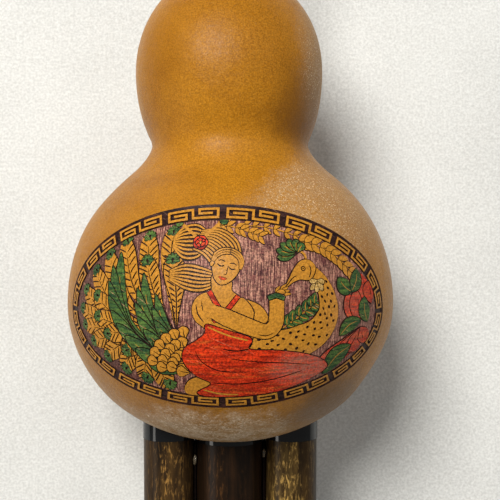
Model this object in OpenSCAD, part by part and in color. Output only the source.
// Hulusi: a gourd flute with one melody pipe and two drone pipes, lying on its back at rest.
//
// Every piece is drawn in the instrument's own frame first: its long axis is z, z = 0 is the widest
// ring of the gourd's belly, the mouthpiece points to +z and the carved front faces -y. lay() then puts
// the instrument down on z = 0, resting on its belly and on the end ring of the melody pipe, with the
// front facing up and the mouthpiece towards +Y.

/* [Gourd] */
// Radius of the belly at its widest ring
belly_r = 46.5; // [42:0.5:50]
// Height of the belly below its widest ring
belly_drop = 39.2; // [36:0.2:42]
// Radius of the upper bulb at its widest ring
bulb_r = 26.6; // [24:0.2:28]
// Place of the upper bulb's widest ring
bulb_z = 65.4; // [63:0.2:67]
// Height of the bulb below its widest ring, as far as it would reach inside the belly
bulb_drop = 35; // [33:0.5:37]
// Height of the bulb above its widest ring
bulb_rise = 29.4; // [28:0.2:31]
// Width of the smooth blend at the waist
waist_blend = 13; // [10:0.5:15]
// Radius of the neck that holds the mouthpiece
neck_r = 8.4; // [8:0.1:9]
// Width of the smooth blend between bulb and neck
neck_blend = 5; // [3:0.5:6]
// Place of the neck's flat top
neck_top = 99; // [98:0.5:101]
// Thickness of the dried gourd wall
gourd_wall = 3; // [2.5:0.1:3.5]

/* [Mouthpiece] */
// Radius of the mouthpiece's straight stretch
mouth_r = 5.2; // [5:0.1:5.6]
// Radius of the wind way through the mouthpiece
mouth_bore_r = 2.6; // [2.2:0.1:2.8]
// Length of the mouthpiece outside the neck
mouth_length = 29; // [26:0.5:34]
// Depth of the mouthpiece in the neck
mouth_depth = 15; // [12:0.5:16]
// Thickness of the dark ring between neck and mouthpiece
neck_ring_h = 3.4; // [3:0.2:4]

/* [Pipes] */
// Radius of the middle pipe, which plays the melody
melody_r = 9.45; // [9.3:0.05:9.5]
// Radius of the left drone pipe
left_r = 7.25; // [7.1:0.05:7.3]
// Radius of the right drone pipe
right_r = 7.4; // [7.25:0.05:7.45]
// Distance between the axes of the left drone and the melody pipe
left_x = 17.55; // [17.5:0.05:17.7]
// Distance between the axes of the right drone and the melody pipe
right_x = 17.7; // [17.65:0.05:17.85]
// Wall of the melody pipe
melody_wall = 3; // [2.8:0.1:3.2]
// Wall of a drone pipe
drone_wall = 2.6; // [2.4:0.1:2.8]
// Place of the melody pipe's lower end
melody_end = -292; // [-300:1:-288]
// Place of the drone pipes' lower ends
drone_end = -262; // [-264:1:-258]
// Height of a bamboo node ridge
node_ridge = 0.45; // [0.3:0.05:0.5]

/* [Finger holes] */
// Radius of a finger hole
finger_r = 3.3; // [3:0.1:3.5]
// Radius of the tassel hole
tassel_r = 1.6; // [1.4:0.1:1.8]

/* [Hidden] */

$fn = 96;
cut = 1;              // how far a cutter runs past the face that it opens
glue_gap = 0.05;      // radial gap at a glued joint
slide_gap = 0.06;     // radial gap between a mute plug and its pipe

ferrule_lip = 0.2;    // how far a ferrule stands proud of its pipe
melody_ferrule_low = -39.6;  // lower rim of the middle ferrule
drone_ferrule_low = -38.8;   // lower rim of the two outer ferrules
ferrule_high = -23;          // upper rim of the ferrules, inside the gourd
tenon_step = 1.2;     // how much a pipe is turned down where it enters a ring
tenon_top = -29;      // where a pipe's tenon ends and its reed tube starts
wax_level = -29.2;    // inner surface of the wax that seals the pipes in

end_ring_h = 9;
end_ring_lip = 0.4;
end_tenon_step = 0.7;

melody_finger_z = [-92, -116, -140, -170, -194, -220];
thumb_z = -80;
vent_z = -250;
tassel_z = -276;
melody_nodes = [-155];
left_nodes = [-128, -222];
right_nodes = [-142, -236];
ridge_half = 2.6;     // half the length of a bamboo node ridge
seam_low = -248;      // lower end of the resin between the pipes
seam_neck = 0.55;     // thickness of the resin where the pipes are closest
seam_foot = 1.15;     // and behind them, where the gap widens
glue_spot_z = [-46, -240];
glue_spot_h = 4;

plug_shaft = 12;
plug_gap = 0.1;
knob_h = 8;
knob_groove = 0.6;

reed_tube_top = 22;
reed_wall = 2.1;
reed_flat = 1;        // depth of the flat that carries the reed plate
reed_low = -4;        // lower end of the reed plate
reed_h = 21;
reed_t = 0.5;
reed_cap_h = 3;
reed_cap_spigot = 4;
window_w = 3.6;
window_h = 17;
slot_w = 2.6;
slot_h = 15;
tongue_w = 2.3;
tongue_t = 0.25;
tongue_gap = 0.15;
wax_bar_h = 1.6;
wax_bar_t = 0.9;

// The tilt at which the belly and the melody pipe's end ring both touch the surface. The belly's lower
// half is half an ellipsoid, so its height over the surface is sqrt((belly_r cos)^2 + (belly_drop sin)^2).
rest_r = melody_r + end_ring_lip;
rest_l = -melody_end;
rest_q = rest_l * rest_l - belly_drop * belly_drop;
rest_tilt = atan((sqrt(pow(rest_l * rest_r, 2) + rest_q * (belly_r * belly_r - rest_r * rest_r))
    - rest_l * rest_r) / rest_q);
rest_z = rest_l * sin(rest_tilt) + rest_r * cos(rest_tilt);
mouth_tip = neck_top + neck_ring_h + mouth_length;
tip_round = 0.8;
rest_y = -(mouth_tip * cos(rest_tilt) + (mouth_r - tip_round) * sin(rest_tilt)
    - rest_l * cos(rest_tilt) - rest_r * sin(rest_tilt)) / 2;

module lay() {
    translate([0, rest_y, rest_z]) rotate([rest_tilt - 90, 0, 0]) children();
}

// ---- Gourd ----

function dome(z, r, h) = abs(z) >= h ? 0 : r * sqrt(1 - z * z / (h * h));

function blend_max(a, b, width) =
    let (h = max(width - abs(a - b), 0) / width) max(a, b) + h * h * width / 4;

// Radius of the gourd at height z, shrunk by inset for the inner wall, which has no neck.
function belly_at(z, inset) = dome(z, belly_r - inset, (z < 0 ? belly_drop : belly_r) - inset);
function bulb_at(z, inset) =
    dome(z - bulb_z, bulb_r - inset, (z < bulb_z ? bulb_drop : bulb_rise) - inset);
function gourd_r(z, inset = 0) =
    z < bulb_z ? blend_max(belly_at(z, inset), bulb_at(z, inset), waist_blend)
    : inset > 0 ? bulb_at(z, inset)
    : blend_max(bulb_at(z, 0), neck_r, neck_blend);

// Outline of the gourd from its lowest point up to top, with more points where the bulb closes.
function gourd_profile(inset, top) =
    let (start = bulb_z + 16)
    concat(
        [for (a = [-90:5:-5]) [(belly_r - inset) * cos(a), (belly_drop - inset) * sin(a)]],
        [for (z = [0:2:start]) [gourd_r(z, inset), z]],
        [for (a = [10:10:90]) let (z = start + (top - start) * sin(a)) [gourd_r(z, inset), z]]
    );

module gourd_outside() {
    rotate_extrude() polygon(concat(gourd_profile(0, neck_top), [[0, neck_top]]));
}

module gourd_inside(inset = gourd_wall) {
    rotate_extrude() polygon(gourd_profile(inset, bulb_z + bulb_rise - inset));
}

// Holes for the three ferrules, through the bottom of the gourd.
module ferrule_holes(gap) {
    for (p = [[0, melody_r], [-left_x, left_r], [right_x, right_r]])
        translate([p[0], 0, -belly_drop - cut])
            cylinder(r = p[1] + ferrule_lip + gap, h = belly_drop + ferrule_high + cut);
}

module gourd_shell() {
    color([0.78, 0.50, 0.16]) lay() difference() {
        gourd_outside();
        gourd_inside();
        ferrule_holes(glue_gap);
        translate([0, 0, neck_top - mouth_depth]) cylinder(r = mouth_r + glue_gap, h = mouth_depth + cut);
    }
}

module base_wax() {
    color([0.62, 0.44, 0.20]) lay() difference() {
        intersection() {
            gourd_inside(gourd_wall + glue_gap);
            translate([0, 0, -belly_drop]) cylinder(r = belly_r, h = belly_drop + wax_level);
        }
        ferrule_holes(glue_gap);
    }
}

// ---- Mouthpiece ----

module neck_ring() {
    color([0.06, 0.06, 0.07]) lay() translate([0, 0, neck_top]) rotate_extrude() difference() {
        union() {
            translate([0, 0.6]) square([neck_r + 0.6, neck_ring_h - 1.2]);
            square([neck_r, neck_ring_h]);
        }
        translate([-1, -cut]) square([mouth_r + glue_gap + 1, neck_ring_h + 2 * cut]);
    }
}

module mouthpiece() {
    base = neck_top + neck_ring_h;
    color([0.36, 0.20, 0.10]) lay() rotate_extrude() polygon([
        [mouth_bore_r, neck_top - mouth_depth], [mouth_r, neck_top - mouth_depth],
        [mouth_r, base + glue_gap], [mouth_r + 1.4, base + glue_gap], [mouth_r + 1.7, base + 1.2],
        [mouth_r + 1.2, base + 3.2], [mouth_r, base + 5],
        [mouth_r, mouth_tip - tip_round], [mouth_r - tip_round, mouth_tip], [mouth_bore_r, mouth_tip]
    ]);
}

// ---- Ferrules, pipes and rings ----

module tube(r, bore, low, high) {
    translate([0, 0, low]) difference() {
        cylinder(r = r, h = high - low);
        translate([0, 0, -cut]) cylinder(r = bore, h = high - low + 2 * cut);
    }
}

module ferrule(x, r, low) {
    color([0.06, 0.06, 0.07]) lay() translate([x, 0, 0])
        tube(r + ferrule_lip, r - tenon_step + glue_gap, low, ferrule_high);
}

// Outline of a turned bamboo pipe from its lower tenon to its upper one, with a ridge at each node.
function pipe_outline(r, wall, end, shoulder, ridges) = concat(
    [[r - wall, end], [r - end_tenon_step, end]],
    [[r - end_tenon_step, end + end_ring_h], [r, end + end_ring_h]],
    [for (i = [len(ridges) - 1:-1:0]) for (t = [-1:0.25:1])
        [r + node_ridge * (1 + cos(180 * t)) / 2, ridges[i] + ridge_half * t]],
    [[r, shoulder], [r - tenon_step, shoulder], [r - tenon_step, tenon_top], [r - wall, tenon_top]]
);

module pipe(x, r, wall, end, shoulder, ridges) {
    lay() translate([x, 0, 0]) rotate_extrude() polygon(pipe_outline(r, wall, end, shoulder, ridges));
}

// A round hole through one wall of the melody pipe: side is -1 for the front and 1 for the back.
module side_hole(z, r, side) {
    translate([0, 0, z]) rotate([90 * side, 0, 0]) mirror([0, 0, 1]) cylinder(r = r, h = melody_r + cut);
}

module melody_pipe() {
    color([0.22, 0.13, 0.07]) difference() {
        pipe(0, melody_r, melody_wall, melody_end, melody_ferrule_low - glue_gap, melody_nodes);
        lay() {
            for (z = melody_finger_z) side_hole(z, finger_r, -1);
            side_hole(thumb_z, finger_r, 1);
            side_hole(vent_z, finger_r, 1);
            translate([-melody_r - cut, 0, tassel_z]) rotate([0, 90, 0])
                cylinder(r = tassel_r, h = 2 * (melody_r + cut));
        }
    }
}

module drone_pipe(x, r, ridges) {
    color([0.25, 0.15, 0.08]) pipe(x, r, drone_wall, drone_end, drone_ferrule_low - glue_gap, ridges);
}

module end_ring(x, r, end) {
    color([0.06, 0.06, 0.07]) lay() translate([x, 0, 0])
        tube(r + end_ring_lip, r - end_tenon_step + glue_gap, end, end + end_ring_h - glue_gap);
}

// A push-in stopper that silences a drone: a plain shaft and a grooved knob.
module mute_plug(x, r) {
    shaft_r = r - drone_wall - slide_gap;
    color([0.07, 0.07, 0.08]) lay() translate([x, 0, drone_end - plug_gap]) rotate_extrude() polygon([
        [0, plug_shaft], [shaft_r - 0.5, plug_shaft], [shaft_r, plug_shaft - 0.5], [shaft_r, 0],
        [r, 0], [r, -2], [r - knob_groove, -2.6], [r - knob_groove, -3.4], [r, -4],
        [r, 1.2 - knob_h], [r - 1.2, -knob_h], [0, -knob_h]
    ]);
}

// Middle of the gap between the melody pipe and each drone pipe.
gap_x = [(left_r - melody_r - left_x) / 2, (right_x + melody_r - right_r) / 2];

// Dark resin that joins the pipes along the two gaps, broken off where a pipe has a node ridge.
module pipe_seams() {
    seam_high = melody_ferrule_low - 1;
    gap_nodes = [concat(melody_nodes, left_nodes), concat(melody_nodes, right_nodes)];
    color([0.08, 0.06, 0.05]) lay() for (i = [0, 1]) translate([gap_x[i], 0, 0]) difference() {
        translate([0, 0, seam_low]) linear_extrude(seam_high - seam_low) {
            translate([-seam_neck / 2, -2]) square([seam_neck, 5]);
            translate([-seam_foot / 2, 2.4]) square([seam_foot, 1.4]);
        }
        for (z = gap_nodes[i]) translate([-5, -5, z - ridge_half - 0.5]) cube([10, 10, 2 * ridge_half + 1]);
    }
}

// Wedges of glue in front of the resin, clear of the pipes' round sides.
module pipe_glue_spots() {
    color([0.80, 0.76, 0.66]) lay()
        for (x = gap_x) for (z = glue_spot_z)
            translate([x, 0, z - glue_spot_h / 2]) linear_extrude(glue_spot_h)
                polygon([[-0.85, -3.8], [0.85, -3.8], [0.45, -2.1], [-0.45, -2.1]]);
}

// ---- Reeds, inside the gourd ----

function reed_tube_r(r) = r - tenon_step;
function reed_face(r) = reed_tube_r(r) - reed_flat;
function reed_plate_w(r) = 2 * sqrt(pow(reed_tube_r(r), 2) - pow(reed_face(r), 2)) - 0.4;

module reed_tube(x, r) {
    tube_r = reed_tube_r(r);
    color([0.10, 0.10, 0.11]) lay() translate([x, 0, 0]) difference() {
        tube(tube_r, tube_r - reed_wall, tenon_top + glue_gap, reed_tube_top);
        translate([-tube_r, -tube_r - cut, reed_low - wax_bar_h])
            cube([2 * tube_r, reed_flat + cut, reed_h + 2 * wax_bar_h]);
        translate([-window_w / 2, -tube_r, reed_low + (reed_h - window_h) / 2])
            cube([window_w, tube_r, window_h]);
    }
}

module reed_cap(x, r) {
    tube_r = reed_tube_r(r);
    color([0.10, 0.10, 0.11]) lay() translate([x, 0, reed_tube_top]) {
        cylinder(r = tube_r, h = reed_cap_h);
        translate([0, 0, -reed_cap_spigot]) cylinder(r = tube_r - reed_wall - glue_gap, h = reed_cap_spigot);
    }
}

module reed_plate(x, r) {
    w = reed_plate_w(r);
    color([0.72, 0.52, 0.24]) lay() translate([x, -reed_face(r) - reed_t, reed_low]) difference() {
        translate([-w / 2, 0, 0]) cube([w, reed_t, reed_h]);
        translate([-slot_w / 2, -cut, (reed_h - slot_h) / 2]) cube([slot_w, reed_t + 2 * cut, slot_h]);
    }
}

// The free tongue, which swings through the plate's slot about its lower end.
module reed_tongue(x, r) {
    color([0.80, 0.60, 0.28]) lay()
        translate([x, -reed_face(r) - reed_t / 2, reed_low + (reed_h - slot_h) / 2])
            translate([-tongue_w / 2, -tongue_t / 2, tongue_gap])
                cube([tongue_w, tongue_t, slot_h - 2 * tongue_gap]);
}

// Two bars of wax that hold the plate down on the flat, one at each end.
module reed_wax(x, r) {
    w = reed_plate_w(r);
    color([0.62, 0.44, 0.20]) lay() for (z = [reed_low - wax_bar_h + glue_gap, reed_low + reed_h])
        translate([x - w / 2, -reed_face(r) - wax_bar_t, z]) cube([w, wax_bar_t, wax_bar_h - glue_gap]);
}

gourd_shell();
base_wax();
neck_ring();
mouthpiece();
ferrule(0, melody_r, melody_ferrule_low);  // melody_ferrule
ferrule(-left_x, left_r, drone_ferrule_low);  // left_ferrule
ferrule(right_x, right_r, drone_ferrule_low);  // right_ferrule
melody_pipe();
drone_pipe(-left_x, left_r, left_nodes);  // left_drone_pipe
drone_pipe(right_x, right_r, right_nodes);  // right_drone_pipe
end_ring(0, melody_r, melody_end);  // melody_end_ring
end_ring(-left_x, left_r, drone_end);  // left_end_ring
end_ring(right_x, right_r, drone_end);  // right_end_ring
mute_plug(-left_x, left_r);  // left_mute_plug
mute_plug(right_x, right_r);  // right_mute_plug
reed_tube(0, melody_r);  // melody_reed_tube
reed_tube(-left_x, left_r);  // left_reed_tube
reed_tube(right_x, right_r);  // right_reed_tube
reed_cap(0, melody_r);  // melody_reed_cap
reed_cap(-left_x, left_r);  // left_reed_cap
reed_cap(right_x, right_r);  // right_reed_cap
reed_plate(0, melody_r);  // melody_reed_plate
reed_plate(-left_x, left_r);  // left_reed_plate
reed_plate(right_x, right_r);  // right_reed_plate
reed_tongue(0, melody_r);  // melody_reed_tongue
reed_tongue(-left_x, left_r);  // left_reed_tongue
reed_tongue(right_x, right_r);  // right_reed_tongue
reed_wax(0, melody_r);  // melody_reed_wax
reed_wax(-left_x, left_r);  // left_reed_wax
reed_wax(right_x, right_r);  // right_reed_wax
pipe_seams();
pipe_glue_spots();
